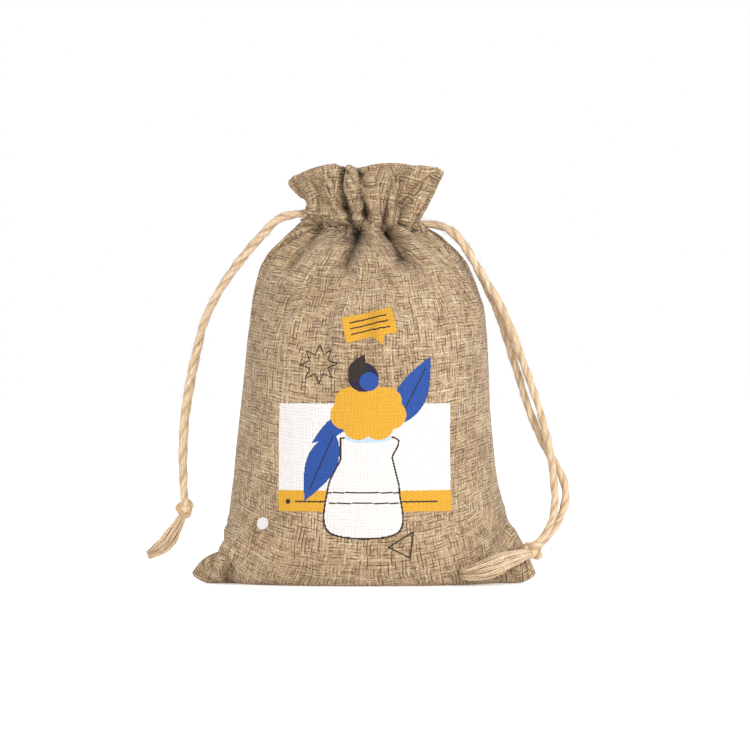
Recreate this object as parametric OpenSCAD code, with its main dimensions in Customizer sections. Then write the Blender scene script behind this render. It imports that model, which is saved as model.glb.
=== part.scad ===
// Small burlap gift sack, filled and standing, drawn closed by two jute drawstrings.
// Millimetres, +Z up, front towards -Y, origin under the middle of the base.

/* [Sack] */
// Height from the floor to the top edge of the frill
sack_h = 120; // [112:1:130]
// Width across the two bottom corners
corner_w = 98; // [94:1:104]
// Width of the filled body at half height
body_w = 72; // [66:1:76]
// Depth of the filled body at half height
body_d = 55; // [48:1:60]
// Width of the drawn neck
neck_w = 35; // [34:1:38]
// Depth of the drawn neck
neck_d = 25; // [24:1:27]
// Thickness of the cloth
cloth_t = 1; // [0.8:0.1:1.2]
// Number of pleats across each half of the neck
pleats = 6; // [4:2:8]

/* [Drawstrings] */
// Thickness of the jute twine
cord_d = 2.4; // [2:0.1:2.6]
// Thickness of the left knot
left_knot_d = 5.2; // [4.8:0.1:6]
// Thickness of the right knot
right_knot_d = 6; // [5:0.1:6.4]
// Height of the left cord exit
left_exit_z = 106.4; // [106:0.1:107]
// Height of the right cord exit
right_exit_z = 103.4; // [103:0.1:103.6]

/* [Stitching] */
// Thickness of the sewing thread
thread_d = 0.6; // [0.4:0.1:0.8]
// Length of one stitch
stitch_l = 2.6; // [2:0.1:3]

/* [Print] */
// Width of the printed card
card_w = 48; // [40:1:50]
// Thickness of the ink layer
ink_t = 0.2; // [0.1:0.05:0.3]

/* [Hidden] */

// Heights of the shaping rings, as the cloth is folded from the floor up
floor_t = 1;
channel_lo = 101;
channel_hi = 109;
ring_z = [floor_t, 2.5, 4, 6, 9, 12.5, 16, 22, 30, 38, 46, 54, 62, 70, 77, 83, 88, 92, 95, 98, 99.5,
    channel_lo, 101.8, 103, 105, 107, 108.2, channel_hi, 111, 114, 117, sack_h];
hem_z = [for (z = ring_z) if (z >= 99.5) z];
arc_step = 5;
arc_a = [0:arc_step:180];

// Half width and half depth of the body against height, without the corner ears
b = body_w / 2;
n = neck_w / 2;
half_widths = [[0, b + 1], [2.5, b + 3], [6, b + 4], [16, b + 3.8], [30, b + 1.8], [46, b + 0.4],
    [60, b - 1], [75, b - 2.4], [83, b - 3.8], [90, b - 6], [95, b - 8.6], [99.5, n + 6.2],
    [channel_lo, n + 4.2], [103, n + 1.8], [105, n + 0.4], [107, n], [channel_hi, n + 0.6],
    [114, n + 2.6], [sack_h, n + 4.6]];
h = body_d / 2;
m = neck_d / 2;
half_depths = [[0, h - 8], [2.5, h - 5.5], [6, h - 3.2], [12.5, h - 1.2], [30, h - 0.2], [46, h],
    [62, h - 0.3], [77, h - 2.4], [88, h - 5.6], [95, h - 10], [99.5, m + 3.6],
    [channel_lo, m + 2.4], [103, m + 1], [107, m], [channel_hi, m + 0.3], [sack_h, m + 2.5]];

// How far the folded bottom corners stand out beyond the body, and half their thickness
ear = corner_w / 2 - b;
ears = [[0, ear - 3], [2.5, ear - 3], [4, ear - 3.6], [6, ear - 6], [9, ear - 8.6],
    [12.5, ear - 11], [16, 0]];
ear_half_t = 2.4;

// Depth of the pleats as a share of the radius
pleat_share = [[88, 0], [95, 0.02], [99.5, 0.035], [channel_lo, 0.04], [sack_h, 0.07]];

// The drawstrings lie inside the pleats, and the hem bulges inwards round them
loop_inset = 6.2;
hem_bulge = loop_inset + cord_d / 2 + 0.5 - cloth_t;
hem_insets = [[99.5, 0], [channel_lo, 3], [101.8, hem_bulge], [108.2, hem_bulge],
    [channel_hi, 4], [111, 0]];

// The two strands of a drawstring lie side by side in the exits
cord_r = cord_d / 2;
strand_y = cord_r + 0.1;
pivot_x = neck_w / 2 + 2;
pivot_gap = 0.3;
tail_in = 8;
slot_half = strand_y + cord_r + 0.3;
slot_l = 2 * (neck_w / 2 - tail_in + 0.5);

// Routes of the free strands, from the exit to the knot
left_front_route = [[-20.4, -1.3, 106.2], [-21, -1.3, 106.1], [-25, -1.4, 104.6], [-29, -1.4, 100.4],
    [-34, -1.4, 94.6], [-39, -1.4, 88], [-43, -1.4, 81.6], [-46, -1.4, 75], [-48, -1.3, 68],
    [-49.6, -1.3, 61], [-50.9, -1.3, 54], [-51.8, -1.3, 47], [-52.2, -1.3, 40], [-52.2, -1.3, 33],
    [-51.8, -1.3, 26], [-51.6, -1.1, 22]];
left_back_route = [[-20.4, 1.3, 106.2], [-21, 1.3, 106.1], [-25, 1.4, 104.8], [-29.4, 1.4, 100.6],
    [-34.6, 1.4, 94.6], [-39.4, 1.4, 88], [-43.4, 1.4, 81.4], [-46.2, 1.4, 75], [-47.8, 1.3, 68],
    [-49.2, 1.3, 61], [-50.4, 1.3, 54], [-51.4, 1.3, 47], [-51.8, 1.3, 40], [-52, 1.3, 33],
    [-51.8, 1.3, 26], [-51.6, 1.1, 22]];
right_front_route = [[20.4, -1.3, 103.3], [21, -1.4, 103.2], [24.6, -3.2, 101.6], [28.4, -4.8, 97.6],
    [31.8, -5.6, 92.2], [35.6, -5.8, 86], [39.4, -5.8, 79.6], [42.4, -5.8, 72.6], [45, -5.8, 65.6],
    [47.6, -5.8, 58.4], [50, -5.8, 51.4], [52, -5.9, 44.2], [53.6, -6.4, 37.2], [54.4, -6.8, 30.2],
    [54.8, -7.2, 24], [53.8, -7.4, 18], [51.2, -7.2, 13.4], [48.6, -6.8, 10.8]];
right_back_route = [[20.4, 1.3, 103.3], [21, 1.2, 103.2], [24.8, 0.2, 101.8], [28.4, -1.4, 98.2],
    [31.4, -2.4, 93], [34.6, -3, 86.6], [38, -3, 79.4], [40.4, -3, 72.6], [42.6, -3, 65.6],
    [44.8, -3, 58.6], [47, -3.1, 51.4], [49.8, -3.2, 44.2], [53, -3.6, 37.6], [56.6, -4.2, 31.6],
    [58, -4.8, 25.6], [56.4, -5, 19.2], [52.8, -4.8, 13.6], [49.4, -5, 10.6]];
left_tassel_route = [[-51.8, 0, 20.4], [-53, 0, 18], [-54.6, -0.2, 15.2], [-56.6, -0.6, 12.2],
    [-59.4, -0.8, 10], [-62.4, -1, 8.6]];
right_tassel_route = [[46.6, -7, 8.8], [44, -8.8, 6.6], [40, -12, 4.6], [36, -15.2, 3.2],
    [31.6, -18.2, 2.5], [27, -20.8, 2]];
tassel_radii = [1.3, 1.6, 2.1, 2.2, 1.9, 1];
left_knot_at = [-51.6, 0, 21.6];
right_knot_at = [47.8, -6.2, 10];

// Colours of the cloth, the twine, the thread and the ink
burlap = [0.72, 0.62, 0.49];
jute = [0.78, 0.66, 0.53];
thread = [0.62, 0.52, 0.4];
ink = [0.96, 0.94, 0.93];

// A point of the cloth at angle a round the front half, height z, inset from the outer face
function cloth_point(a, z, inset) =
    let (w = lookup(z, half_widths) - inset,
        x = -(w + lookup(z, ears)) * cos(a),
        body = (lookup(z, half_depths) - inset) * sqrt(max(0, 1 - pow(x / w, 2))),
        fin = (ear_half_t - inset) * sin(a),
        swell = 1 + lookup(z, pleat_share) * cos(2 * pleats * a))
    [x * swell, -norm([body, fin]) * swell, z];

// Two triangles for one quadrilateral, each side named in clockwise order from outside
function split(p, q, r, s) = [[p, q, r], [p, r, s]];

// Half a tube of cloth between two insets, closed along its rims and its seams
module half_shell(zs, outer, inner) {
    cols = len([for (a = arc_a) a]);
    rows = len(zs);
    points = concat(
        [for (z = zs, a = arc_a) cloth_point(a, z, outer(z))],
        [for (z = zs, a = arc_a) cloth_point(a, z, inner(z))]);
    o = function (i, j) i * cols + j;
    k = function (i, j) (rows + i) * cols + j;
    top = rows - 1;
    end = cols - 1;
    faces = concat(
        [for (i = [0:top - 1], j = [0:end - 1]) each split(o(i, j), o(i + 1, j), o(i + 1, j + 1), o(i, j + 1))],
        [for (i = [0:top - 1], j = [0:end - 1]) each split(k(i, j), k(i, j + 1), k(i + 1, j + 1), k(i + 1, j))],
        [for (j = [0:end - 1]) each split(o(0, j), o(0, j + 1), k(0, j + 1), k(0, j))],
        [for (j = [0:end - 1]) each split(o(top, j + 1), o(top, j), k(top, j), k(top, j + 1))],
        [for (i = [0:top - 1]) each split(o(i + 1, 0), o(i, 0), k(i, 0), k(i + 1, 0))],
        [for (i = [0:top - 1]) each split(o(i, end), o(i + 1, end), k(i + 1, end), k(i, end))]);
    polyhedron(points, faces);
}

// The flat half of the base that the sack stands on
module half_base() {
    outline = [for (a = arc_a) let (p = cloth_point(a, floor_t, 0)) [p.x, p.y]];
    linear_extrude(floor_t) polygon(outline);
}

// Openings in the side seams where the drawstrings come out
module exit_slots() {
    for (side = [[-1, left_exit_z], [1, right_exit_z]])
        translate([side[0] * neck_w / 2, 0, side[1]])
            cube([slot_l, 2 * slot_half, cord_d + 0.8], center = true);
}

module panel() {
    difference() {
        union() {
            half_shell(ring_z, function (z) 0, function (z) cloth_t);
            half_base();
        }
        exit_slots();
    }
}

// The turned-down top edge, stitched to the panel above and below the drawstring channel
module hem() {
    difference() {
        half_shell(hem_z,
            function (z) cloth_t + lookup(z, hem_insets),
            function (z) 1.8 * cloth_t + lookup(z, hem_insets));
        exit_slots();
    }
}

// A row of stitches round half the cloth at height z
module stitch_row(z, count) {
    for (i = [1:count]) {
        a = 180 * i / (count + 1);
        p = cloth_point(a, z, 0);
        ahead = cloth_point(a + 1, z, 0);
        translate(p)
            rotate([0, 0, atan2(ahead.y - p.y, ahead.x - p.x)])
                cube([stitch_l, thread_d, thread_d], center = true);
    }
}

// A row of stitches down one side seam, on the inner face of the cloth
module seam_row(side) {
    for (z = [14:5:94]) {
        low = cloth_point(0, z - 1, cloth_t);
        high = cloth_point(0, z + 1, cloth_t);
        translate([side * (low.x + high.x) / 2, 0, z])
            rotate([0, side * atan2(high.x - low.x, 2), 0])
                cube([thread_d, thread_d, stitch_l], center = true);
    }
}

// A swept tube of twine: one ring of the given radius at each point of the route
module tube(route, radii, ref = [0, 1, 0], sides = 8) {
    last = len(route) - 1;
    points = [for (i = [0:last])
        let (ahead = route[min(i + 1, last)] - route[max(i - 1, 0)],
            u = cross(ahead, ref) / norm(cross(ahead, ref)),
            v = cross(ahead, u) / norm(ahead))
        for (s = [0:sides - 1])
            route[i] + radii[i] * (u * cos(360 * s / sides) + v * sin(360 * s / sides))];
    faces = concat(
        [[for (s = [0:sides - 1]) s]],
        [[for (s = [0:sides - 1]) last * sides + sides - 1 - s]],
        [for (i = [0:last - 1], s = [0:sides - 1])
            let (t = (s + 1) % sides, base = i * sides)
            each split(base + s, base + sides + s, base + sides + t, base + t)]);
    polyhedron(points, faces);
}

// A free strand, rounded off where it starts outside the exit
module strand(route) {
    tube(route, [for (i = [0:len(route) - 1]) i == 0 ? cord_r / 2 : cord_r]);
}

// The loop of a drawstring inside the channel, open towards its own exit
module channel_loop(side, z) {
    w = lookup(z, half_widths) - loop_inset;
    d = lookup(z, half_depths) - loop_inset;
    route = [for (a = [44:17:316]) [side * w * cos(a), d * sin(a), z]];
    tube(route, [for (p = route) cord_r], ref = [0, 0, 1]);
}

// The two ends of the loop, which lie in the exit and draw out of it
module cord_tails(side, z) {
    for (y = [-strand_y, strand_y])
        translate([side * tail_in, y, z])
            rotate([0, side * 90, 0]) {
                cylinder(r = cord_r, h = pivot_x - pivot_gap - cord_r - tail_in, $fn = 24);
                translate([0, 0, pivot_x - pivot_gap - cord_r - tail_in])
                    sphere(r = cord_r, $fn = 24);
            }
}

// An overhand knot of both strands: a ball with one turn of twine round it
module knot(at, d, tilt) {
    translate(at)
        rotate(tilt) {
            sphere(d = 0.88 * d, $fn = 32);
            rotate_extrude($fn = 32)
                translate([d / 2 - 0.42 * cord_d, 0]) circle(d = 0.84 * cord_d, $fn = 16);
        }
}

module tassel(route) {
    tube(route, tassel_radii);
}

// Outlines of the printed picture, seen from the front
module star_outline(r) {
    polygon([for (i = [0:15]) let (q = (i % 2 == 0 ? r : 0.62 * r)) [q * cos(i * 22.5), q * sin(i * 22.5)]]);
}

module picture() {
    translate([-card_w / 2, 21.6]) square([card_w, 30.6]);
    translate([0, 48]) circle(r = 12, $fn = 40);
    translate([0, 60]) circle(r = 5, $fn = 32);
    translate([1.4, 73.6]) rotate(-12) square([15, 9], center = true);
    translate([-12.7, 63.4]) star_outline(5.5);
    translate([-28.5, 17.9]) circle(r = 1.7, $fn = 24);
    polygon([[6, 8.6], [13, 8.6], [9.5, 15.6]]);
}

// The ink, as a skin on the cloth wherever the picture covers it
module front_print() {
    color(ink)
        intersection() {
            half_shell([for (z = ring_z) if (z >= 6 && z <= 83) z],
                function (z) -ink_t, function (z) 0);
            rotate([90, 0, 0]) linear_extrude(2 * body_d) picture();
        }
}

module front_panel() { color(burlap) panel(); }
module back_panel() { color(burlap) mirror([0, 1, 0]) panel(); }
module front_hem() { color(burlap) hem(); }
module back_hem() { color(burlap) mirror([0, 1, 0]) hem(); }
module front_upper_stitching() { color(thread) stitch_row(112, 14); }
module front_lower_stitching() { color(thread) stitch_row(100, 16); }
module back_upper_stitching() { color(thread) mirror([0, 1, 0]) stitch_row(112, 14); }
module back_lower_stitching() { color(thread) mirror([0, 1, 0]) stitch_row(100, 16); }
module left_seam_stitching() { color(thread) seam_row(1); }
module right_seam_stitching() { color(thread) seam_row(-1); }
module bottom_seam_stitching() {
    color(thread)
        for (x = [-36:4.5:36])
            translate([x, 0, floor_t]) cube([stitch_l, thread_d, thread_d], center = true);
}
module left_channel_loop() { color(jute) channel_loop(-1, left_exit_z); }
module right_channel_loop() { color(jute) channel_loop(1, right_exit_z); }
module left_cord_tails() { color(jute) cord_tails(-1, left_exit_z); }
module right_cord_tails() { color(jute) cord_tails(1, right_exit_z); }
module left_front_strand() { color(jute) strand(left_front_route); }
module left_back_strand() { color(jute) strand(left_back_route); }
module left_knot() { color(jute) knot(left_knot_at, left_knot_d, [20, 70, 0]); }
module left_tassel() { color(jute) tassel(left_tassel_route); }
module right_front_strand() { color(jute) strand(right_front_route); }
module right_back_strand() { color(jute) strand(right_back_route); }
module right_knot() { color(jute) knot(right_knot_at, right_knot_d, [30, -50, 0]); }
module right_tassel() { color(jute) tassel(right_tassel_route); }

front_panel();
back_panel();
front_hem();
back_hem();
front_upper_stitching();
front_lower_stitching();
back_upper_stitching();
back_lower_stitching();
left_seam_stitching();
right_seam_stitching();
bottom_seam_stitching();
front_print();
left_channel_loop();
right_channel_loop();
left_cord_tails();
right_cord_tails();
left_front_strand();
left_back_strand();
left_knot();
left_tassel();
right_front_strand();
right_back_strand();
right_knot();
right_tassel();
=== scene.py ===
import math

import bpy
import numpy as np
from mathutils import Matrix, Vector


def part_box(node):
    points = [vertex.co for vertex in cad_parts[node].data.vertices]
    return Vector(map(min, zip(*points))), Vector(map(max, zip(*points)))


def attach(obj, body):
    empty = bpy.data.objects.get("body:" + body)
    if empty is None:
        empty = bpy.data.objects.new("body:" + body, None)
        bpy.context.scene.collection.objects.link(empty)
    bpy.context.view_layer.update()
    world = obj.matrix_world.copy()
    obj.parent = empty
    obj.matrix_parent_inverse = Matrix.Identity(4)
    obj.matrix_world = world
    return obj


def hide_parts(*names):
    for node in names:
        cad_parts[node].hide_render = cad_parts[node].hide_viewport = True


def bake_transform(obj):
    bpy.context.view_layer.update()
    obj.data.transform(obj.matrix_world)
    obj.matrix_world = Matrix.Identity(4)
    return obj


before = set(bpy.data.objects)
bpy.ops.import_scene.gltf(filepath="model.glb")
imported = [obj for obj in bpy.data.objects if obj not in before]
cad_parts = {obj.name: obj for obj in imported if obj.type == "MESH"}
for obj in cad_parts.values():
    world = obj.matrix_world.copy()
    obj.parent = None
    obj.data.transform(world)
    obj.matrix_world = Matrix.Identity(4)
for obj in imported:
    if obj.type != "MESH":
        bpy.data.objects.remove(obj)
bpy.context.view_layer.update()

MM = 0.001

# --- The camera, the floor and the light ---

VIEW_DISTANCE = 1.5
VIEW_ELEVATION = math.radians(0.5)
VIEW_WIDTH = 0.216
AIM_X = 0.0032
SENSOR = 36.0
FLOOR_SIDE = 4.0
# Each lamp's place, size and power
LIGHTS = {"key": ((0.6, -0.85, 0.35), 0.35, 5.0), "fill": ((-0.4, -0.95, 0.12), 0.3, 1.0),
          "top": ((0.1, 0.25, 0.9), 0.5, 2.0)}


def add_object(name, data):
    thing = bpy.data.objects.new(name, data)
    bpy.context.collection.objects.link(thing)
    return thing


def add_camera():
    panel_low, panel_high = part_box("front_panel")
    aim = Vector((AIM_X, 0.0, (panel_high[2] - panel_low[2]) * 0.5))
    data = bpy.data.cameras.new("camera")
    data.sensor_width = SENSOR
    data.lens = SENSOR * VIEW_DISTANCE / VIEW_WIDTH
    data.clip_start = 0.01
    camera = add_object("camera", data)
    back = Vector((0.0, -math.cos(VIEW_ELEVATION), math.sin(VIEW_ELEVATION)))
    camera.location = aim + back * VIEW_DISTANCE
    camera.rotation_euler = back.to_track_quat("Z", "Y").to_euler()
    bpy.context.scene.camera = camera


def add_lights():
    for name, (place, size, power) in LIGHTS.items():
        data = bpy.data.lights.new(name, "AREA")
        data.shape = "DISK"
        data.size = size
        data.energy = power
        light = add_object(name, data)
        light.location = place
        light.rotation_euler = Vector(place).to_track_quat("Z", "Y").to_euler()


def add_studio():
    world = bpy.data.worlds.new("studio")
    world.use_nodes = True
    world.node_tree.nodes["Background"].inputs["Color"].default_value = (1, 1, 1, 1)
    bpy.context.scene.world = world
    bpy.context.scene.view_settings.view_transform = "Standard"
    mesh = bpy.data.meshes.new("floor")
    corners = [(x * FLOOR_SIDE, y * FLOOR_SIDE, 0) for x, y in ((-1, -1), (1, -1), (1, 1), (-1, 1))]
    mesh.from_pydata(corners, [], [(0, 1, 2, 3)])
    material = bpy.data.materials.new("floor_white")
    material.use_nodes = True
    inputs = material.node_tree.nodes["Principled BSDF"].inputs
    inputs["Base Color"].default_value = (0.93, 0.93, 0.93, 1)
    inputs["Roughness"].default_value = 0.9
    inputs["Emission Color"].default_value = (1, 1, 1, 1)
    inputs["Emission Strength"].default_value = 0.3
    mesh.materials.append(material)
    add_object("floor", mesh)


# --- Building meshes ---


def link(mesh, material, body, slot, *nodes):
    """One finished piece: its material, the body it rides on, and the CAD nodes it stands for."""
    piece = add_object(mesh.name, mesh)
    mesh.materials.append(material)
    mesh.shade_smooth()
    if body:
        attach(piece, body)
    if nodes:
        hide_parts(*nodes)
    return piece


def mesh_from(name, points, faces, uv=None):
    """A mesh from points in millimetres, with the flat coordinates of each point as its UV map."""
    mesh = bpy.data.meshes.new(name)
    mesh.from_pydata((np.asarray(points, float) * MM).tolist(), [], faces)
    if uv is not None:
        layer = mesh.uv_layers.new(name="flat")
        loops = np.empty(len(mesh.loops), dtype=np.int32)
        mesh.loops.foreach_get("vertex_index", loops)
        layer.data.foreach_set("uv", np.asarray(uv, np.float32)[loops].ravel())
    return mesh


def grid_faces(rows, cols, first=0, flip=False, wrap=False):
    """Quads of a grid whose points run along each row in turn."""
    i, j = np.meshgrid(np.arange(rows - 1) * cols, np.arange(cols if wrap else cols - 1), indexing="ij")
    k = (j + 1) % cols
    quads = np.stack([i + j, i + k, i + cols + k, i + cols + j], axis=-1).reshape(-1, 4)
    return (quads[:, ::-1 if flip else 1] + first).tolist()


# --- The drawstrings ---

CORD_D = 2.4
PLY_PITCH = 13.0
TWINE_RINGS = 230
WAYS = {"left": -1, "right": 1}
EXITS = {"left": (-17.5, 106.4), "right": (17.5, 103.4)}
LEAD_IN = (9, 14, 18)

# The routes of part.scad, in millimetres, from each exit to the knot
ROUTES = {
    "left_front": [(-20.4, -1.3, 106.2), (-25, -1.4, 104.6), (-29, -1.4, 100.4), (-34, -1.4, 94.6),
                   (-39, -1.4, 88), (-43, -1.4, 81.6), (-46, -1.4, 75), (-48, -1.3, 68),
                   (-49.6, -1.3, 61), (-50.9, -1.3, 54), (-51.8, -1.3, 47), (-52.2, -1.3, 40),
                   (-52.2, -1.3, 33), (-51.8, -1.3, 26), (-51.6, -1.1, 22)],
    "left_back": [(-20.4, 1.3, 106.2), (-25, 1.4, 104.8), (-29.4, 1.4, 100.6), (-34.6, 1.4, 94.6),
                  (-39.4, 1.4, 88), (-43.4, 1.4, 81.4), (-46.2, 1.4, 75), (-47.8, 1.3, 68),
                  (-49.2, 1.3, 61), (-50.4, 1.3, 54), (-51.4, 1.3, 47), (-51.8, 1.3, 40), (-52, 1.3, 33),
                  (-51.8, 1.3, 26), (-51.6, 1.1, 22)],
    "right_front": [(20.4, -1.3, 103.3), (24.6, -3.2, 101.6), (28.4, -4.8, 97.6), (31.8, -5.6, 92.2),
                    (35.6, -5.8, 86), (39.4, -5.8, 79.6), (42.4, -5.8, 72.6), (45, -5.8, 65.6),
                    (47.6, -5.8, 58.4), (50, -5.8, 51.4), (52, -5.9, 44.2), (53.6, -6.4, 37.2),
                    (54.4, -6.8, 30.2), (54.8, -7.2, 24), (53.8, -7.4, 18), (51.2, -7.2, 13.4),
                    (48.6, -6.8, 10.8)],
    "right_back": [(20.4, 1.3, 103.3), (24.8, 0.2, 101.8), (28.4, -1.4, 98.2), (31.4, -2.4, 93),
                   (34.6, -3, 86.6), (38, -3, 79.4), (40.4, -3, 72.6), (42.6, -3, 65.6), (44.8, -3, 58.6),
                   (47, -3.1, 51.4), (49.8, -3.2, 44.2), (53, -3.6, 37.6), (56.6, -4.2, 31.6),
                   (58, -4.8, 25.6), (56.4, -5, 19.2), (52.8, -4.8, 13.6), (49.4, -5, 10.6)],
}
# Each tassel's centre line and width
TASSELS = {
    "left": ([(-51.8, 0, 20.4), (-53, 0, 18), (-54.6, -0.2, 15.2), (-57, -0.6, 11.6), (-60, -0.8, 9.2),
              (-63, -1, 7.8)], 1.1),
    "right": ([(47.4, -7, 9), (44.4, -8.8, 8.2), (40, -12, 6.8), (36, -15.2, 5.2), (31.6, -18.2, 4),
               (27, -20.8, 3.4)], 1.5),
}
# Each knot's place, size and tilt in degrees
KNOTS = {"left": ((-51.6, 0, 21.6), 5.4, 80), "right": ((48.8, -6.2, 9.8), 6.2, 120)}


def smooth_path(points, n):
    """n + 1 points evenly spaced along a Catmull-Rom curve through the points, and its length."""
    p = np.array(points, float)
    p = np.vstack([2 * p[0] - p[1], p, 2 * p[-1] - p[-2]])
    t = np.linspace(0, 1, 16, endpoint=False)[:, None]
    pieces = []
    for a, b, c, d in zip(p[:-3], p[1:-2], p[2:-1], p[3:]):
        pieces.append(0.5 * (2 * b + (c - a) * t + (2 * a - 5 * b + 4 * c - d) * t ** 2
                             + (3 * b - a - 3 * c + d) * t ** 3))
    fine = np.vstack(pieces + [p[-2:-1]])
    run = np.concatenate([[0], np.cumsum(np.linalg.norm(np.diff(fine, axis=0), axis=1))])
    at = np.linspace(0, run[-1], n + 1)
    return np.stack([np.interp(at, run, fine[:, k]) for k in range(fine.shape[1])], axis=1), run[-1]


def path_frames(path):
    """Two steady normals at each point of a path."""
    tangent = np.gradient(path, axis=0)
    tangent /= np.linalg.norm(tangent, axis=1, keepdims=True)
    side = np.cross(tangent[0], (0.3, 1.0, 0.2))
    sides = []
    for t in tangent:
        side = side - t * np.dot(side, t)
        side /= np.linalg.norm(side)
        sides.append(side)
    sides = np.array(sides)
    return sides, np.cross(tangent, sides)


def sweep(path, radii, around, spin=0.0, lobes=0.0):
    """Rings of a tube, pinched into two plies that turn by spin per ring, and each point's ply angle."""
    u, v = path_frames(path)
    a = np.linspace(0, 2 * math.pi, around, endpoint=False)[None, :]
    phase = a - (np.arange(len(path)) * spin)[:, None]
    r = np.asarray(radii)[:, None] * (1 - lobes * np.abs(np.sin(phase)) ** 1.6)
    cos, sin = np.cos(a)[..., None], np.sin(a)[..., None]
    rings = path[:, None] + r[..., None] * (cos * u[:, None] + sin * v[:, None])
    return rings, phase


class Tubes:
    """Tubes and other round shapes gathered into one mesh."""

    def __init__(self):
        self.points, self.faces, self.uv = [], [], []

    def add(self, rings, uv, caps=True, flip=True):
        rows, cols = rings.shape[:2]
        first = len(self.points)
        self.points.extend(rings.reshape(-1, 3))
        self.uv.extend(uv)
        self.faces += grid_faces(rows, cols, first, flip=flip, wrap=True)
        if caps:
            self.faces.append([first + k for k in range(cols)])
            self.faces.append([first + (rows - 1) * cols + k for k in reversed(range(cols))])

    def mesh(self, name):
        return mesh_from(name, self.points, self.faces, self.uv)


def twine_mesh(name, path, seed):
    """Two-ply jute twine: a two-lobed section that turns along the path, with loose fibres."""
    rng = np.random.default_rng(seed)
    count, around, radius = len(path), 18, CORD_D / 2
    step = np.linalg.norm(np.diff(path, axis=0), axis=1).mean()
    swells = np.arange(0, count + 8, 8)
    radii = radius * np.interp(np.arange(count), swells, rng.normal(1, 0.05, len(swells)))
    radii[[0, -1]] = radius * 0.5
    rings, phase = sweep(path, radii, around, spin=2 * math.pi * step / PLY_PITCH, lobes=0.17)
    tubes = Tubes()
    tubes.add(rings, np.stack([np.repeat(np.arange(count) * step, around), phase.ravel() * radius], axis=1))
    add_loose_fibres(tubes, path, radius, rng, int(count * step * 2.2))
    return tubes.mesh(name)


def add_loose_fibres(tubes, path, radius, rng, count):
    """Short stray fibres that leave a twine at a low angle."""
    u, v = path_frames(path)
    tangent = np.gradient(path, axis=0)
    tangent /= np.linalg.norm(tangent, axis=1, keepdims=True)
    t = np.linspace(0, 1, 5)[:, None]
    corners = np.radians((0, 120, 240))[:, None]
    for _ in range(count):
        k = rng.integers(6, len(path) - 6)
        angle = rng.uniform(0, 2 * math.pi)
        out = math.cos(angle) * u[k] + math.sin(angle) * v[k]
        way = tangent[k] * rng.choice((-1, 1)) + 0.6 * np.cross(tangent[k], out)
        reach = rng.uniform(0.8, 2.2)
        lift = rng.uniform(0.15, 0.55)
        line = path[k] + out * (radius * 0.8 + lift * reach * t ** 1.4) + way * reach * t
        side = np.cross(way, out)
        side /= np.linalg.norm(side)
        width = 0.045 * (1 - 0.7 * t[..., None])
        rings = line[:, None] + width * (np.cos(corners) * side + np.sin(corners) * out)
        tubes.add(rings, [(0.5 * k, 1.2 * corner) for _ in t for corner in range(3)], caps=False, flip=False)


def knot_mesh(name, at, size, tilt):
    """A tight overhand knot: a small trefoil of twine with touching turns, round a solid middle."""
    t = np.linspace(0, 2 * math.pi, 121)
    loop = [np.sin(t) + 2 * np.sin(2 * t), np.cos(t) - 2 * np.cos(2 * t), -1.25 * np.sin(3 * t)]
    turn = np.array(Matrix.Rotation(math.radians(tilt), 3, "X") @ Matrix.Rotation(math.radians(25), 3, "Z"))
    loop = np.stack(loop, axis=1) @ turn.T * (size / 8.6) + at
    around = 16
    rings, phase = sweep(loop, np.full(len(loop), size * 0.225), around, spin=0.19, lobes=0.3)
    tubes = Tubes()
    uv = np.stack([np.repeat(np.arange(len(loop)) * 0.2, around), phase.ravel()], axis=1)
    tubes.add(rings, uv, caps=False)
    t = np.linspace(0.02, math.pi - 0.02, 9)[:, None]
    a = np.linspace(0, 2 * math.pi, 14, endpoint=False)[None, :]
    ball = np.stack([np.sin(t) * np.cos(a), np.sin(t) * np.sin(a), np.cos(t) + 0 * a], axis=-1)
    tubes.add(ball * (size * 0.33) + at, np.zeros((ball[..., 0].size, 2)))
    return tubes.mesh(name)


def tassel_mesh(name, route, width, seed):
    """The frayed ends of both strands: a brush of separate fibres that swells and closes again."""
    rng = np.random.default_rng(seed)
    path, _length = smooth_path(route, 24)
    u, v = path_frames(path)
    share = np.linspace(0, 1, len(path))
    swell = width * np.interp(share, [0, 0.15, 0.45, 0.7, 1], [0.8, 1.2, 1.9, 1.8, 1.0])
    tubes = Tubes()
    for k in range(int(120 * width)):
        r = math.sqrt(rng.uniform(0, 1))
        angle = rng.uniform(0, 2 * math.pi) + rng.uniform(-0.9, 0.9) * share[:, None]
        stop = int(len(path) * (1 - 0.35 * rng.uniform(0, 1) ** 2))
        wave = rng.uniform(0, 2 * math.pi, 2)
        wobble = 0.16 * np.sin(share * rng.uniform(5, 11) + wave[0])
        line = path + (r * swell + wobble)[:, None] * (np.cos(angle) * u + np.sin(angle) * v)
        line = line[:stop]
        line[:, 2] = np.maximum(line[:, 2], 0.25)
        taper = np.interp(np.linspace(0, 1, stop), [0, 0.7, 1], [1, 0.9, 0.35])
        rings, _phase = sweep(line, rng.uniform(0.13, 0.26) * taper, 5)
        tubes.add(rings, [(0.7 * row, 1.7 * k) for row in range(stop) for _ in range(5)])
    return tubes.mesh(name)


# --- Materials ---


def srgb(rgb, tint=1.0):
    """A linear colour from 0 to 255 display values."""
    out = []
    for c in rgb:
        c *= tint / 255
        out.append(c / 12.92 if c <= 0.04045 else ((c + 0.055) / 1.055) ** 2.4)
    return (*out, 1.0)


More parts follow.
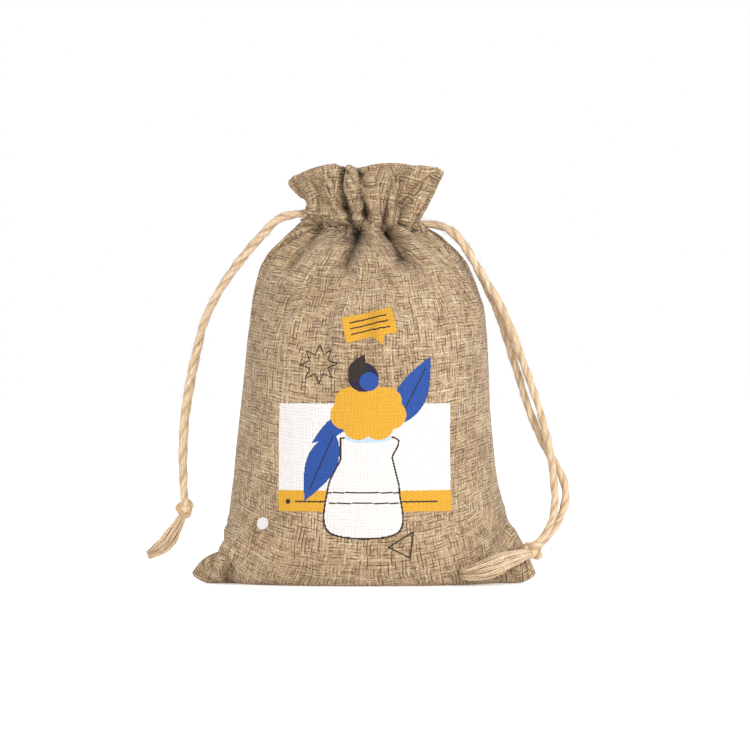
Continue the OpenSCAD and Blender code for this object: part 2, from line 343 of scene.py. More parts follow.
class Nodes:
    """Short calls for building a material's node tree."""

    def __init__(self, name):
        self.material = bpy.data.materials.new(name)
        self.material.use_nodes = True
        self.tree = self.material.node_tree
        self.shader = self.tree.nodes["Principled BSDF"].inputs

    def put(self, inputs, values):
        """Sets sockets to plain values, or links them to other nodes' outputs."""
        for key, value in values.items():
            if isinstance(value, bpy.types.NodeSocket):
                self.tree.links.new(value, inputs[key])
            else:
                inputs[key].default_value = value

    def new(self, kind, values, output=0, **settings):
        node = self.tree.nodes.new("ShaderNode" + kind)
        for key, value in settings.items():
            setattr(node, key, value)
        self.put(node.inputs, values)
        return node.outputs[output]

    def flat(self):
        """The place on the flat cloth or along the cord, and its two parts."""
        uv = self.new("UVMap", {}, uv_map="flat")
        return uv, self.new("SeparateXYZ", {0: uv}, 0), self.new("SeparateXYZ", {0: uv}, 1)

    def math(self, operation, *values, clamp=False):
        return self.new("Math", dict(enumerate(values)), operation=operation, use_clamp=clamp)

    def times(self, a, b):
        return self.math("MULTIPLY", a, b)

    def scaled(self, a, scale, plus):
        return self.math("MULTIPLY_ADD", a, scale, plus)

    def size(self, a):
        return self.math("ABSOLUTE", a)

    def noise(self, place, scale, detail=2.0, rough=0.5):
        values = {"Vector": place, "Scale": scale, "Detail": detail, "Roughness": rough}
        return self.new("TexNoise", values, "Fac")

    def vector(self, *parts):
        return self.new("CombineXYZ", dict(enumerate(parts)))

    def ramp(self, factor, stops, tint=1.0):
        node = self.tree.nodes.new("ShaderNodeValToRGB")
        while len(node.color_ramp.elements) < len(stops):
            node.color_ramp.elements.new(0.5)
        for element, (at, rgb) in zip(node.color_ramp.elements, stops):
            element.position = at
            element.color = srgb(rgb, tint)
        self.put(node.inputs, {"Fac": factor})
        return node.outputs["Color"]

    def mix(self, factor, a, b):
        return self.new("Mix", {0: factor, 6: a, 7: b}, 2, data_type="RGBA")

    def spread(self, value, low, high, to_low=0.0, to_high=1.0):
        values = {"Value": value, "From Min": low, "From Max": high, "To Min": to_low, "To Max": to_high}
        return self.new("MapRange", values, "Result")

    def finish(self, colour, bump, distance, values):
        """Puts the colour, a bump of this many millimetres and the plain values on the shader."""
        normal = self.new("Bump", {"Height": bump, "Distance": distance * MM, "Strength": 1.0})
        self.put(self.shader, {"Base Color": colour, "Normal": normal, **values})
        return self.material


YARN = 0.9
BURLAP = [(0.30, (135, 104, 72)), (0.43, (178, 148, 111)), (0.56, (206, 177, 139)), (0.74, (238, 217, 183))]
# Painted shade: the darker brown that the weave's low places are mixed towards
BURLAP_HOLLOW_SHADE = (110, 84, 58)
BURLAP_DASH = (92, 60, 38)
BURLAP_TINT = 0.875
INK_WORN = (206, 186, 160)
INK_SHADE = (120, 96, 70)
JUTE = [(0.28, (158, 118, 72)), (0.45, (202, 173, 136)), (0.6, (222, 200, 170)), (0.8, (242, 229, 208))]
# Painted shade: the darker brown laid in the groove between the twine's two plies
JUTE_GROOVE_SHADE = (138, 98, 56)
THREAD = [(0.3, (150, 124, 92)), (0.7, (196, 170, 134))]


def weave(n):
    """The burlap weave in flat-cloth millimetres: its height, tone, and the dark dashes between yarns."""
    uv, u, v = n.flat()
    s, t = (n.scaled(n.math("SUBTRACT", n.noise(place, 0.12, 1.0), 0.5), 2.0, n.math("DIVIDE", flat, YARN))
            for place, flat in ((uv, u), (n.vector(v, u, 7.0), v)))
    sines = [n.math("SINE", n.times(a, math.pi)) for a in (s, t)]
    over = n.times(n.times(*sines), 3.0)
    over = n.math("MINIMUM", n.math("MAXIMUM", over, -1.0), 1.0)
    slubs, heights, gaps = [], [], []
    for sine, lift, slub_place, dash_place in (
            (sines[0], 0.24, n.vector(s, n.times(t, 0.12), 3.0), n.vector(s, n.times(t, 0.35), 23.0)),
            (sines[1], -0.24, n.vector(n.times(s, 0.12), t, 11.0), n.vector(n.times(s, 0.35), t, 31.0))):
        slub = n.noise(slub_place, 1.0, 2.0, 0.6)
        thick = n.spread(slub, 0.32, 0.68, 0.55, 1.25)
        yarn = n.times(n.math("POWER", n.size(sine), 0.55), thick)
        slubs.append(slub)
        heights.append(n.times(yarn, n.scaled(over, lift, 0.76)))
        dash = n.spread(n.noise(dash_place, 0.9), 0.5, 0.6)
        gaps.append(n.times(n.spread(n.size(sine), 0.6, 0.2), dash))
    which = n.spread(n.math("SUBTRACT", *heights), -0.12, 0.12)
    return uv, n.math("MAXIMUM", *heights), n.mix(which, slubs[1], slubs[0]), n.math("MAXIMUM", *gaps)


def burlap_material(name, tint=1.0):
    n = Nodes(name)
    uv, height, slub, dashes = weave(n)
    fibre = n.noise(uv, 5.0, 3.0, 0.7)
    tone = slub
    for noise in (fibre, n.noise(uv, 0.05, 3.0, 0.6)):
        tone = n.scaled(n.math("SUBTRACT", noise, 0.5), 0.3, tone)
    tint *= BURLAP_TINT
    # Painted shade: the low places of the weave, between and under the yarns, are mixed towards a darker
    # brown
    colour = n.mix(n.spread(height, 0.12, 0.5, 0.45, 1.0), srgb(BURLAP_HOLLOW_SHADE, tint), n.ramp(tone, BURLAP, tint))
    colour = n.mix(n.times(dashes, 0.9), colour, srgb(BURLAP_DASH, tint))
    bump = n.scaled(fibre, 0.18, n.scaled(dashes, -0.5, height))
    return n.finish(colour, bump, 0.3, {"Roughness": 0.92, "Sheen Weight": 0.15, "Sheen Roughness": 0.6,
                                        "Specular IOR Level": 0.2})


def ink_material(name):
    n = Nodes(name)
    uv, height, _slub, dashes = weave(n)
    ink = n.new("Attribute", {}, "Color", attribute_name="ink")
    fibre = n.noise(uv, 5.0, 3.0, 0.7)
    worn = n.mix(n.spread(fibre, 0.4, 0.8, 0.0, 0.08), ink, srgb(INK_WORN))
    gap = n.math("MULTIPLY_ADD", dashes, 0.35, n.spread(height, 0.5, 0.12, 0.0, 0.4), clamp=True)
    colour = n.mix(gap, worn, n.mix(0.3, ink, srgb(INK_SHADE)))
    bump = n.math("ADD", height, n.times(fibre, 0.12))
    return n.finish(colour, bump, 0.22, {"Roughness": 0.8, "Specular IOR Level": 0.2})


def jute_material(name):
    n = Nodes(name)
    _uv, along, around = n.flat()
    groove_shade = n.size(n.math("SINE", n.math("DIVIDE", around, CORD_D / 2)))
    slant = n.scaled(along, 1.1, n.times(around, 1.5))
    strand = n.noise(n.vector(n.times(along, 0.35), n.times(slant, 3.0)), 1.0, 4.0, 0.65)
    patch = n.noise(n.vector(n.times(along, 0.12), around, 5.0), 1.0)
    tone = n.math("ADD", strand, n.times(n.math("SUBTRACT", patch, 0.5), 0.45))
    # Painted shade: the pinched groove between the two plies is mixed towards a darker brown
    colour = n.mix(n.spread(groove_shade, 0.8, 1.0, 0.0, 0.42), n.ramp(tone, JUTE), srgb(JUTE_GROOVE_SHADE))
    return n.finish(colour, strand, 0.3, {"Roughness": 0.8, "Sheen Weight": 0.3, "Specular IOR Level": 0.25})


def thread_material(name):
    n = Nodes(name)
    tone = n.noise(n.new("TexCoord", {}, "Object"), 2600.0)
    return n.finish(n.ramp(tone, THREAD), tone, 0.1, {"Roughness": 0.7})


# --- The sack's cloth ---

FLAT_W = 100.0
FLAT_H = 140.0
CLOTH_T = 0.9
RING_V = 124.0
NECK_HALF = (17.0, 10.0)
TOP_HALF = (21.8, 13.0)

# Height of the frill's edge against x, before its edge is rolled over
TOP_EDGE = [(-21, 115.4), (-15, 118.2), (-8, 119.8), (-3, 118.9), (0.2, 118.2), (3.7, 119.8), (8.5, 120.1),
            (20, 119.2), (22.8, 117.8)]

# Half width and half depth of what fills the sack, against height
FILL_WIDTHS = [(0, 37), (2.5, 38.8), (6, 39.6), (12, 39.8), (18, 39), (30, 36.8), (41, 35.6), (53, 34.4),
               (64, 33), (73, 32.4), (81.5, 31.6), (87, 30.2), (92, 28.2), (96, 25.4), (99, 22),
               (102, 18), (106, 12)]
FILL_DEPTHS = [(0, 18.5), (2.5, 21), (6, 23.4), (12, 25.2), (30, 26.2), (46, 26.2), (62, 26), (73, 25),
               (81.5, 22.8), (88, 19.2), (93, 15), (97, 10.4), (100, 6.5), (103, 4)]

# Folds round each half of the neck and of the frill's edge: (angle from the left seam, 1 ridge to 0 valley)
FRONT_NECK = [(7, 0.9), (13, 0.1), (20, 1), (32, 0.9), (40, 0.7), (48, 0.95), (69, 1), (73.5, 0), (78, 1),
              (87, 1), (91.5, 0.1), (96, 1), (107, 1), (111.5, 0.1), (116, 0.8), (124, 0.7), (129, 0.2),
              (135, 1), (158, 1), (165, 0.1), (173, 0.9)]
FRONT_TOP = [(7, 0.9), (14, 0.1), (22, 1), (46, 1), (68, 1), (72.5, 0), (77, 1), (81, 1), (85.5, 0),
             (90, 1), (105, 1), (109, 0.2), (114, 0.35), (129, 0.35), (135, 1), (146, 1), (162, 1),
             (169, 0.1), (175, 0.9)]
BACK_NECK = [(8, 0.8), (15, 0), (22, 1), (38, 1), (45, 0.1), (52, 1), (66, 1), (73, 0), (80, 1), (96, 1),
             (103, 0), (110, 1), (122, 1), (130, 0.1), (138, 1), (156, 1), (164, 0), (172, 0.8)]
BACK_TOP = [(8, 0.9), (16, 0), (24, 1), (41, 1), (48, 0.2), (55, 1), (68, 1), (75, 0), (82, 1), (99, 1),
            (106, 0.1), (113, 1), (125, 1), (132, 0.2), (139, 1), (157, 1), (165, 0), (173, 0.9)]

# Deep creases: side of the sack, from (x, z), to (x, z), depth at each end, half width
CREASES = [(-1, (-14.6, 103), (-23.6, 91), 6.0, 4.4, 1.7), (-1, (-2.6, 101), (-6.8, 91), 9.0, 6.5, 1.8),
           (-1, (6.8, 100.6), (10.6, 93.2), 9.0, 6.5, 2.0), (-1, (11, 93), (19, 87), 3.4, 0.8, 2.2),
           (-1, (3.9, 100), (5.8, 94), 1.5, 0.9, 0.75), (-1, (-9.2, 101.6), (-10.6, 97), 2.2, 0.8, 0.9),
           (-1, (14.6, 101), (23, 91.4), 2.6, 1.4, 1.3),
           (-1, (-15.5, 102.8), (-4.6, 107.6), 1.2, 2.2, 0.8),
           (-1, (-6.2, 119), (-4.6, 107.6), 2.4, 3.4, 0.75),
           (-1, (-2.2, 118), (0.6, 106), 2.4, 3.4, 0.75), (-1, (0.6, 106), (6.2, 100.6), 2.4, 1.6, 0.75),
           (-1, (6.3, 109), (6.7, 101), 0.8, 3.0, 0.8), (-1, (9.0, 119), (9.0, 109.5), 1.6, 2.6, 1.8),
           (-1, (11, 109), (11.3, 103.8), 2.0, 2.4, 0.8),
           (-1, (11.3, 103.8), (13.4, 102.8), 2.4, 1.6, 0.8),
           (-1, (13.4, 102.8), (16.4, 104.6), 1.6, 0.8, 0.8),
           (-1, (-40.4, 8.6), (-37.8, 4.4), 1.8, 1.2, 0.8), (-1, (43, 9), (39, 2.4), 1.0, 1.6, 1.0),
           (1, (-10, 102), (-16, 90), 3.4, 0.6, 1.2), (1, (1.6, 102), (3.4, 89), 4.0, 0.8, 1.2),
           (1, (12.6, 101), (21, 90), 3.2, 0.6, 1.2)]

# Half width that the cloth keeps within, against height, low down beside the ears and at the neck
UPPER_LIMITS = [(30, 38), (41, 37.2), (80, 34), (90, 30.8), (93, 29.6), (96, 28), (99, 25.4), (101.7, 22.2),
                (104, 19.4), (107, 17.6), (112, 19.4), (120, 23)]
SIDE_LIMITS = {"left": [(0, 50), (3.5, 49.4), (7, 46.4), (9.4, 41.6), (11, 40.6), (18, 39.6)] + UPPER_LIMITS,
               "right": [(0, 50), (3.5, 49.6), (11.4, 45.8), (18, 42), (24.5, 39.8)] + UPPER_LIMITS}
LEAN = [(0, 0), (50, 0.4), (70, 0.8), (93, 1.2), (100, 0.8), (104, 0.2), (108, 0)]
# How much wider each side hangs than the relaxed cloth, against height
LEFT_TRIM = [(20, 1), (28, 1.015), (40, 1.025), (70, 1.025), (80, 1.015), (95, 1), (98, 0.96), (100, 0.94),
             (102, 0.91), (104, 0.93), (106, 0.98), (108, 1.06), (112, 1.1), (114, 1.05), (116, 1)]
RIGHT_TRIM = [(18, 1), (22, 1.02), (50, 1.025), (60, 1.034), (80, 1.035), (90, 0.97), (95, 0.96), (98, 0.93),
              (100, 0.92), (102, 0.885), (104, 0.89), (106, 0.95), (108, 1), (112, 1.04), (120, 1.04)]
TIP_Z = 3.0
# Where the side seams run out into the bottom corners: distance up the seam, x, z
EARS = {"left": [(0, -49.5, TIP_Z), (3, -47.8, 5.3), (6, -45.7, 7.2), (9, -43.2, 8.4), (12, -40.4, 9.2)],
        "right": [(0, 49.5, TIP_Z), (10, 45.5, 11.4), (18.5, 41.6, 18), (26, 39.4, 24.5)]}


def table(z, rows):
    zs, values = zip(*rows)
    return np.interp(z, zs, values)


def pleated_half(folds, half, n):
    """Half the neck in plan, left seam to right, its valleys as deep as the length of cloth needs."""
    half_w, half_d = half

    def curve(depth):
        points = [(-half_w, 0.0)]
        for angle, out in folds:
            a = math.radians(angle)
            nx, ny = -math.cos(a) / half_w, -math.sin(a) / half_d
            inset = (1 - out) * depth / math.hypot(nx, ny)
            points.append((-half_w * math.cos(a) - inset * nx, -half_d * math.sin(a) - inset * ny))
        points.append((half_w, 0.0))
        return smooth_path(points, n)

    low, high = 0.0, 14.0
    for _ in range(30):
        middle = (low + high) / 2
        if curve(middle)[1] < FLAT_W:
            low = middle
        else:
            high = middle
    return curve(high)[0]


def closed_ring(front, back, half, n):
    ahead = pleated_half(front, half, n)
    behind = pleated_half(back, half, n)[::-1] * [1, -1]
    return np.vstack([ahead[:-1], behind[:-1]])


def oval_ring(a, b, n):
    """2 n points evenly spaced round an ellipse, from the left seam round the front."""
    t = np.linspace(0, 2 * math.pi, 721)
    points = np.stack([-a * np.cos(t), -b * np.sin(t)], axis=1)
    run = np.concatenate([[0], np.cumsum(np.linalg.norm(np.diff(points, axis=0), axis=1))])
    at = np.linspace(0, run[-1], 2 * n, endpoint=False)
    return np.stack([np.interp(at, run, points[:, k]) for k in (0, 1)], axis=1)


BASE_V = 20.0
FOLD_V = 98.0
FLOOR_Z = 0.5 * CLOTH_T
TUCK_LEVEL = 1.0


def ring_height(x):
    """The neck's ring slopes a little, from one drawstring exit down to the other."""
    (x1, z1), (x2, z2) = EXITS.values()
    return z1 + (z2 - z1) * (x - x1) / (x2 - x1)


def hem_line(n):
    """The bottom seam, straight across under the sack and out into both ears: 2 n points round it."""
    x = np.linspace(-0.495, 0.495, n + 1) * FLAT_W
    x = np.concatenate([x[:-1], x[:0:-1]])
    tip = np.clip((np.abs(x) - 44) / 5.5, 0, 1)
    return np.stack([x, 0 * x, FLOOR_Z + (TIP_Z - FLOOR_Z) * tip ** 2], axis=1)


def frill_edge(n):
    """The frill's top edge in space."""
    plan = closed_ring(FRONT_TOP, BACK_TOP, TOP_HALF, n)
    z = table(plan[:, 0], TOP_EDGE) - 1.2 * (plan[:, 1] > 0)
    return np.column_stack([plan, z])


def start_shape(step):
    """The bag roughly in place: rows of the flat cloth from the bottom seam up, columns round it."""
    n = int(round(FLAT_W / step))
    rows = int(round(FLAT_H / step)) + 1
    neck = closed_ring(FRONT_NECK, BACK_NECK, NECK_HALF, n)
    neck = np.column_stack([neck, ring_height(neck[:, 0])])
    top = frill_edge(n)
    seam = hem_line(n)
    unit = oval_ring(1.0, 0.72, n) / [1.0, 0.72]
    facing = unit[:, 1] ** 2
    P = np.zeros((rows, 2 * n, 3))
    for i in range(rows):
        v = i * step
        if v <= RING_V:
            side_z = np.interp(v, [0, 13, RING_V], [FLOOR_Z, 11, 106])
            face_z = np.interp(v, [0, 0.85 * BASE_V, RING_V], [FLOOR_Z, FLOOR_Z, 106])
            z = side_z + (face_z - side_z) * facing
            spread = min(v / BASE_V, 1.0)
            fill = [table(z, FILL_WIDTHS) + 0.3, (table(z, FILL_DEPTHS) + 0.3) * spread]
            body = unit * np.stack(fill, axis=1)
            body[:, 0] = seam[:, 0] + (body[:, 0] - seam[:, 0]) * spread
            mix = min(max((v - FOLD_V) / (RING_V - FOLD_V), 0), 1)
            mix = mix * mix * (3 - 2 * mix)
            wide = np.maximum(1.0, table(z, FILL_WIDTHS) / NECK_HALF[0])
            deep = np.maximum(1.0, table(z, FILL_DEPTHS) / NECK_HALF[1])
            P[i, :, 0] = body[:, 0] * (1 - mix) + neck[:, 0] * wide * mix
            P[i, :, 1] = body[:, 1] * (1 - mix) + neck[:, 1] * deep * mix
            P[i, :, 2] = z * (1 - mix) + np.minimum(z, neck[:, 2]) * mix
        else:
            mix = (v - RING_V) / (FLAT_H - RING_V)
            P[i] = neck * (1 - mix) + top * mix
    return P, neck, top, seam


def resample(P, rows, cols):
    """The same cloth on another grid, bilinear."""
    old_rows, old_cols = P.shape[:2]
    at = np.linspace(0, old_rows - 1, rows)
    i = np.minimum(at.astype(int), old_rows - 2)
    f = (at - i)[:, None, None]
    Q = P[i] * (1 - f) + P[i + 1] * f
    at = np.arange(cols) * old_cols / cols
    j = at.astype(int)
    g = (at - j)[None, :, None]
    return Q[:, j] * (1 - g) + Q[:, (j + 1) % old_cols] * g


def hold(a, b, rest, k, push_only=False):
    """Moves each pair of points a and b towards their rest distance apart."""
    d = b - a
    length = np.sqrt(np.einsum("ijk,ijk->ij", d, d))
    wrong = 1 - rest / np.maximum(length, 1e-6)
    if push_only:
        wrong = np.minimum(wrong, 0)
    d *= (0.5 * k * wrong)[..., None]
    a += d
    b -= d


def hold_all(P, step, upright, shear, bend):
    """One pass over the cloth's threads, its diagonals and its stiffness. Returns the moved points."""
    rows = P.shape[0]
    for _ in (0, 1):
        hold(P[:, 0::2], P[:, 1::2], step, 1.0)
        P = np.roll(P, -1, 1)
    P = np.roll(P, 2, 1)
    for first in (0, 1):
        m = (rows - first) // 2 * 2
        hold(P[first:first + m:2], P[first + 1:first + m:2], upright, 1.0)
    for shift in (-1, 1):
        Q = np.roll(P, shift, 1)
        for first in (0, 1):
            m = (rows - first) // 2 * 2
            b = Q[first + 1:first + m:2]
            hold(P[first:first + m:2], b, math.sqrt(2) * step, shear)
            P[first + 1:first + m:2] = np.roll(b, -shift, 1)
            Q = np.roll(P, shift, 1)
    if P.shape[1] % 4 == 0:
        for _ in range(4):
            hold(P[:, 0::4], P[:, 2::4], 2 * step, bend, True)
            P = np.roll(P, -1, 1)
        P = np.roll(P, 4, 1)
    for first in range(4):
        b = P[first + 2::4]
        hold(P[first::4][:len(b)], b, 2 * upright, bend, True)
    return P


def keep_outside_fill(P):
    """Cloth inside the filling moves out to its side, or down to the floor where that is nearer."""
    z = P[..., 2]
    depth = table(z, FILL_DEPTHS)
    q = np.sqrt((P[..., 0] / table(z, FILL_WIDTHS)) ** 2 + (P[..., 1] / depth) ** 2)
    under = (q < 1) & (z < (1 - q) * depth)
    push = np.where((q < 1) & (z < 103) & ~under, 1 / np.maximum(q, 0.2), 1.0)
    push = 1 + 0.5 * (push - 1)
    P[..., 0] *= push
    P[..., 1] *= push
    P[..., 2] = np.where(under, 0.5 * z, z)


def normals(P):
    """Outward normals of the cloth, whose bottom row is sewn to its own other half."""
    du = np.roll(P, -1, 1) - np.roll(P, 1, 1)
    dv = np.empty_like(P)
    dv[1:-1] = P[2:] - P[:-2]
    mirror = (-np.arange(P.shape[1])) % P.shape[1]
    dv[0] = P[1] - P[1][mirror]
    dv[-1] = P[-1] - P[-2]
    n = np.cross(du, dv)
    return n / np.maximum(np.linalg.norm(n, axis=2, keepdims=True), 1e-9)


def keep_apart(P, first, gap):
    """The walls of each fold on a row of gathered cloth stay a cloth's thickness apart."""
    part = P[first:]
    n = normals(P)[first:, :, :2]
    n /= np.maximum(np.linalg.norm(n, axis=2, keepdims=True), 1e-6)
    cols = P.shape[1]
    index = np.arange(cols)
    away = np.abs(index[:, None] - index[None, :])
    away = np.minimum(away, cols - away) > 2
    d = part[:, None, :, :2] - part[:, :, None, :2]
    ahead = np.einsum("rijk,rik->rij", d, n)
    facing = np.einsum("rik,rjk->rij", n, n) < -0.3
    close = np.einsum("rijk,rijk->rij", d, d) < (2.2 * gap) ** 2
    crossed = np.where(facing & close & away, gap - ahead, 0).max(axis=2)
    part[..., :2] -= n * (0.4 * np.clip(crossed, 0, 0.8 * gap))[..., None]


def relax(P, step, steps, passes, pressure, gravity, bend, shear, neck, top, seam, top_pull, noise):
    """Lets the cloth settle round its filling, on the floor, gathered at the neck."""
    rows, cols = P.shape[:2]
    half = cols // 2
    v = np.arange(rows) * step
    rough = np.random.default_rng(7).normal(0, 1, P.shape)
    for _ in range(6):
        rough = (rough + np.roll(rough, 1, 1) + np.roll(rough, -1, 1)) / 3
        rough[1:-1] = (rough[1:-1] + rough[:-2] + rough[2:]) / 3
    P = P + rough / rough.std() * noise * ((v > 3) & (v < 118))[:, None, None]
    speed = np.zeros_like(P)
    ring = int(round(RING_V / step))
    wave = np.linspace(0, 2 * math.pi, cols, endpoint=False)
    upright = step * (0.93 + 0.1 * np.sin(wave) ** 2)
    ears = []
    for column, ear in ((0, EARS["left"]), (half, EARS["right"])):
        at, x, z = np.array(ear).T
        low = v[v <= at[-1]]
        ears.append((column, np.stack([np.interp(low, at, x), 0 * low, np.interp(low, at, z)], axis=1)))
    front = np.zeros(cols, bool)
    front[1:half] = True
    back = np.zeros(cols, bool)
    back[half + 1:] = True
    frill = (v > RING_V + 1)[:, None] & np.ones(cols, bool)
    gathered = int(np.searchsorted(v, 104.0))
    for _ in range(steps):
        filled = (np.abs(P[..., 0]) < table(P[..., 2], FILL_WIDTHS) + 6) & (v < RING_V - 1)[:, None]
        speed = 0.9 * speed + normals(P) * (pressure * (filled + 0.6 * frill))[..., None]
        speed[..., 2] -= gravity
        old = P
        P = P + speed
        for _ in range(passes):
            P = hold_all(P, step, upright, shear, bend)
            keep_outside_fill(P)
            P[:, front, 1] = np.minimum(P[:, front, 1], -0.5 * CLOTH_T)
            P[:, back, 1] = np.maximum(P[:, back, 1], 0.5 * CLOTH_T)
            P[:, [0, half], 1] *= 0.9
            P[..., 0] = np.clip(P[..., 0], -table(P[..., 2], SIDE_LIMITS["left"]),
                                table(P[..., 2], SIDE_LIMITS["right"]))
            for column, ear in ears:
                P[:len(ear), column] = ear
            P[0] = seam
            P[..., 2] = np.maximum(P[..., 2], FLOOR_Z)
            P[ring] = neck
            P[-1] += top_pull * (top - P[-1])
        if step < 3:
            keep_apart(P, gathered, 1.1 * CLOTH_T)
        speed = P - old
    return P


def simulate_sack():
    """The cloth from a coarse grid to a fine one. Rows run up the flat cloth, columns round it."""
    P = None
    for step, steps, passes, pressure, gravity, bend, shear, top_pull, noise in (
            (4.0, 60, 8, 0.02, 0.002, 0.3, 0.2, 0.2, 0.3),
            (2.0, 60, 10, 0.01, 0.001, 0.2, 0.15, 0.2, 0.1),
            (1.0, 50, 10, 0.005, 0.0005, 0.1, 0.1, 0.2, 0.03)):
        start, neck, top, seam = start_shape(step)
        P = start if P is None else resample(P, *start.shape[:2])
        P = relax(P, step, steps, passes, pressure, gravity, bend, shear, neck, top, seam, top_pull, noise)
    return P


def soften(P, k):
    """Each point a share k of the way to the mean of its four neighbours."""
    around = P[2:] + P[:-2] + np.roll(P, 1, 1)[1:-1] + np.roll(P, -1, 1)[1:-1]
    P[1:-1] += k * (0.25 * around - P[1:-1])
    return P


# Places on the front and along a seam where small buckles are pressed flat: side, centre, half size
PRESSED = [(-1, (1, 85.5), (20, 6)), (0, (41, 25), (7, 10))]


def press_flat(P):
    """Takes out the last small buckles, under the front pleats and above the right bottom corner."""
    for side, (x, z), (half_w, half_h) in PRESSED:
        away = ((P[..., 0] - x) / half_w) ** 2 + ((P[..., 2] - z) / half_h) ** 2
        near = 0.5 * np.clip(1.5 - 1.5 * away, 0, 1) * (P[..., 1] * side >= 0)
        near = near[1:-1, :, None]
        for _ in range(70):
            P = soften(P, near)
    return P


def straighten_frill(P):
    """The pleats above the neck run straight up, and the weft runs level through them."""
    first = int(round((RING_V + 1) / FINE))
    for _ in range(14):
        P[first:-1] = P[first:-1] * 0.5 + 0.25 * (P[first + 1:] + P[first - 1:-2])
    for _ in range(10):
        z = P[first:, :, 2]
        P[first:, :, 2] = z * 0.5 + 0.25 * (np.roll(z, 1, 1) + np.roll(z, -1, 1))
    return P


def tuck_folds_in(P):
    """Below the neck the surplus cloth tucks inwards, between wide rounded pleats."""
    x, y, z = P[..., 0], P[..., 1], P[..., 2]
    deep = table(z, FILL_DEPTHS)
    reach = np.hypot(x / table(z, FILL_WIDTHS), y / deep)
    radius = np.hypot(x, y)
    above = radius - radius / reach - TUCK_LEVEL
    face = np.clip((np.abs(y) / deep - 0.35) / 0.3, 0, 1)
    band = np.clip((z - 75) / 13, 0, 1) * np.clip((ring_height(x) - 1.0 - z) / 2.5, 0, 1)
    turned = -2.2 * np.maximum(above, 0) * face * band
    P[..., :2] *= (1 + turned / radius)[..., None]
    return P


def sculpt_creases(P):
    """Draws the deep creases in towards the middle of the sack, with a puff on either side of each."""
    z = np.clip(P[..., 2], 0, 101)
    out = np.stack([P[..., 0] / table(z, FILL_WIDTHS) ** 2, P[..., 1] / table(z, FILL_DEPTHS) ** 2], axis=2)
    out /= np.maximum(np.linalg.norm(out, axis=2, keepdims=True), 1e-6)
    for side, (x1, z1), (x2, z2), depth_a, depth_b, width in CREASES:
        run = (P[..., 0] - x1) * (x2 - x1) + (P[..., 2] - z1) * (z2 - z1)
        run /= (x2 - x1) ** 2 + (z2 - z1) ** 2
        t = np.clip(run, 0, 1)
        r = np.hypot(P[..., 0] - x1 - t * (x2 - x1), P[..., 2] - z1 - t * (z2 - z1))
        depth = (depth_a + (depth_b - depth_a) * t) * (P[..., 1] * side > 0)
        valley = np.exp(-(r / width) ** 2)
        puff = 0.22 * np.exp(-((r - 2.6 * width) / (1.3 * width)) ** 2)
        P[..., :2] += out * (depth * (puff - valley))[..., None]
    return P


def flat_places(P):
    """Each point's place on the flat cloth; the yarns run straight up the gathered neck."""
    rows, cols = P.shape[:2]
    half = cols // 2
    v = np.linspace(0, FLAT_H, rows)[:, None]
    gathered = np.clip((v - 106) / 16, 0, 1)
    across = np.linalg.norm(np.roll(P, -1, 1) - P, axis=2)[v[:, 0] > RING_V + 3].mean(0)
    u = np.zeros((rows, cols + 1))
    for first, start in ((0, 0.0), (half, FLAT_W)):
        run = np.cumsum(across[first:first + half])
        plain = start + FLAT_W * np.arange(1, half + 1) / half
        even = start + FLAT_W * run / run[-1]
        u[:, first + 1:first + half + 1] = plain + (even - plain) * gathered
    return np.stack([u, v + 0 * u], axis=2)


FINE = 2.0 / 3.0
FOLD_STEPS = 7
HEM_GAP = 0.8
HEM_FROM_V = 119.0
HEM_H = FLAT_H - HEM_FROM_V


def half_grid(A, front):
    """The columns of the front or the back, seam to seam."""
    half = A.shape[1] // 2
    if front:
        return A[:, :half + 1]
    return np.concatenate([A[:, half:], A[:, :1]], axis=1)


def half_flat(F, front):
    """The flat coordinates of the front or the back, seam to seam."""
    half = F.shape[1] // 2
    return F[:, :half + 1] if front else F[:, half:]


def closed_cloth(name, outer, inner, uv):
    """A cloth with thickness: its outer and inner grids, joined all round their edge."""
    rows, cols = outer.shape[:2]
    m = rows * cols
    faces = grid_faces(rows, cols) + grid_faces(rows, cols, first=m, flip=True)
    edge = [j for j in range(cols)]
    edge += [i * cols + cols - 1 for i in range(1, rows)]
    edge += [(rows - 1) * cols + j for j in range(cols - 2, -1, -1)]
    edge += [i * cols for i in range(rows - 2, 0, -1)]
    for a, b in zip(edge, edge[1:] + edge[:1]):
        faces.append([b, a, a + m, b + m])
    points = np.vstack([outer.reshape(-1, 3), inner.reshape(-1, 3)])
    return mesh_from(name, points, faces, np.vstack([uv.reshape(-1, 2)] * 2))


def open_exit(P, front):
    """The side seam gapes where a drawstring leaves it."""
    sign = -1 if front else 1
    for _side, (x, z) in EXITS.items():
        near = np.exp(-((P[..., 2] - z) / 1.9) ** 4) * np.exp(-(np.abs(P[..., 0] - x) / 2.6) ** 2)
        near *= np.abs(P[..., 1]) < 4
        P[..., 1] += sign * 2.9 * near
    return P


def build_panel(name, P, N, F, front, material, node):
    """One cloth panel, its top edge rolled over towards the hem inside."""
    mid, n = half_grid(P, front).copy(), half_grid(N, front)
    mid = open_exit(mid, front)
    outer, inner = mid + n * CLOTH_T / 2, mid - n * CLOTH_T / 2
    up = mid[-1] - mid[-2]
    up /= np.linalg.norm(up, axis=1, keepdims=True)
    radius = (HEM_GAP + CLOTH_T) / 2
    roll = []
    for k in range(1, FOLD_STEPS + 1):
        a = math.pi * k / FOLD_STEPS
        out = CLOTH_T / 2 - radius + radius * math.cos(a)
        roll.append(mid[-1] + n[-1] * out + up * radius * math.sin(a))
    outer = np.concatenate([outer, np.array(roll)])
    under = np.repeat(inner[-1:], FOLD_STEPS, axis=0)
    inner = np.concatenate([inner, under])
    uv = half_flat(F, front)
    extra = uv[-1:] + np.arange(1, FOLD_STEPS + 1)[:, None, None] * [0, math.pi * radius / FOLD_STEPS]
    mesh = closed_cloth(name, outer, inner, np.concatenate([uv, extra]))
    return link(mesh, material, "sack", "burlap", node)


